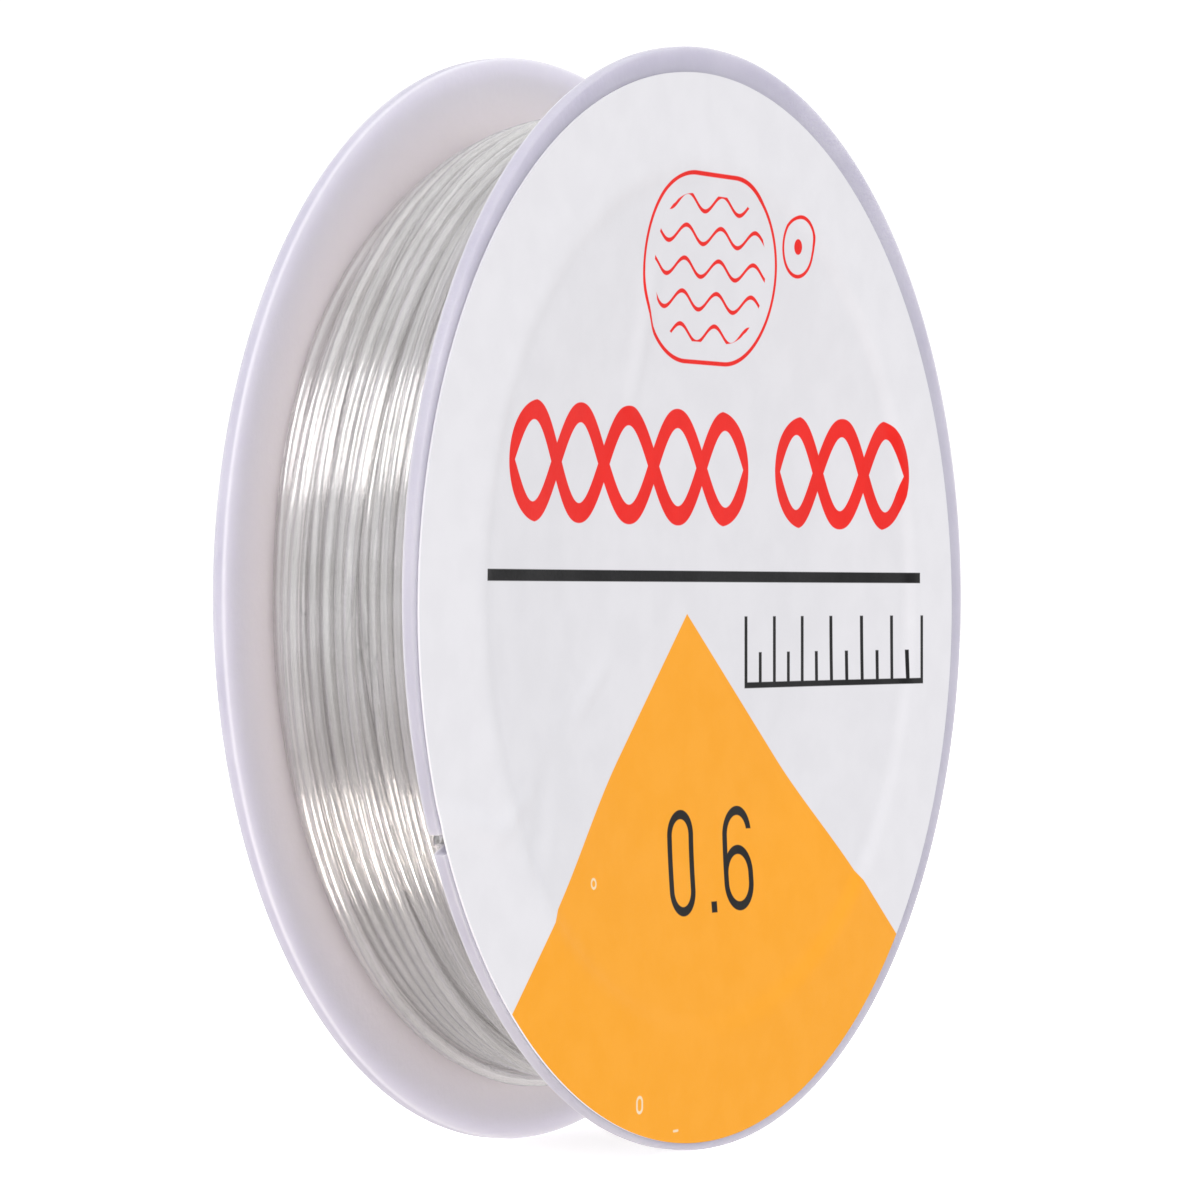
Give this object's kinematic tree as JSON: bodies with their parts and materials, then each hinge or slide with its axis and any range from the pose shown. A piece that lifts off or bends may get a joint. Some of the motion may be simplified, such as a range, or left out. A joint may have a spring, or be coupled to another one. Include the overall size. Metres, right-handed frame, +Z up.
{
  "type": "fishing line spool",
  "caption": "Flat two-flange snap-together spool with a hollow hub, wound with clear elastic line, a round paper label on each face.",
  "frame": {"origin": "on the spool's axis, midway between its two outer faces", "axes": "+Y along the spool's axis from the front label to the back label, +Z up with the spool standing on its rims, +X to the right when facing the front label"},
  "size_m": [0.054, 0.0112, 0.054],
  "materials": {
    "milky_plastic": "translucent natural polypropylene, satin, faint lavender cast",
    "label_paper": "white coated sticker paper, printed orange, red and black",
    "clear_line": "clear glossy elastic monofilament that looks silver-grey when wound"
  },
  "bodies": {
    "front": {"front_half": "milky_plastic", "front_label": "label_paper", "line_winding": "clear_line", "line_tail": "clear_line", "line_start": "clear_line"},
    "back": {"back_half": "milky_plastic", "back_label": "label_paper"}
  },
  "joints": [
    {"name": "back_half_pull", "type": "slide", "parent": "front", "child": "back", "axis": [0, 1, 0], "range_m": [0, 0.016]}
  ]
}
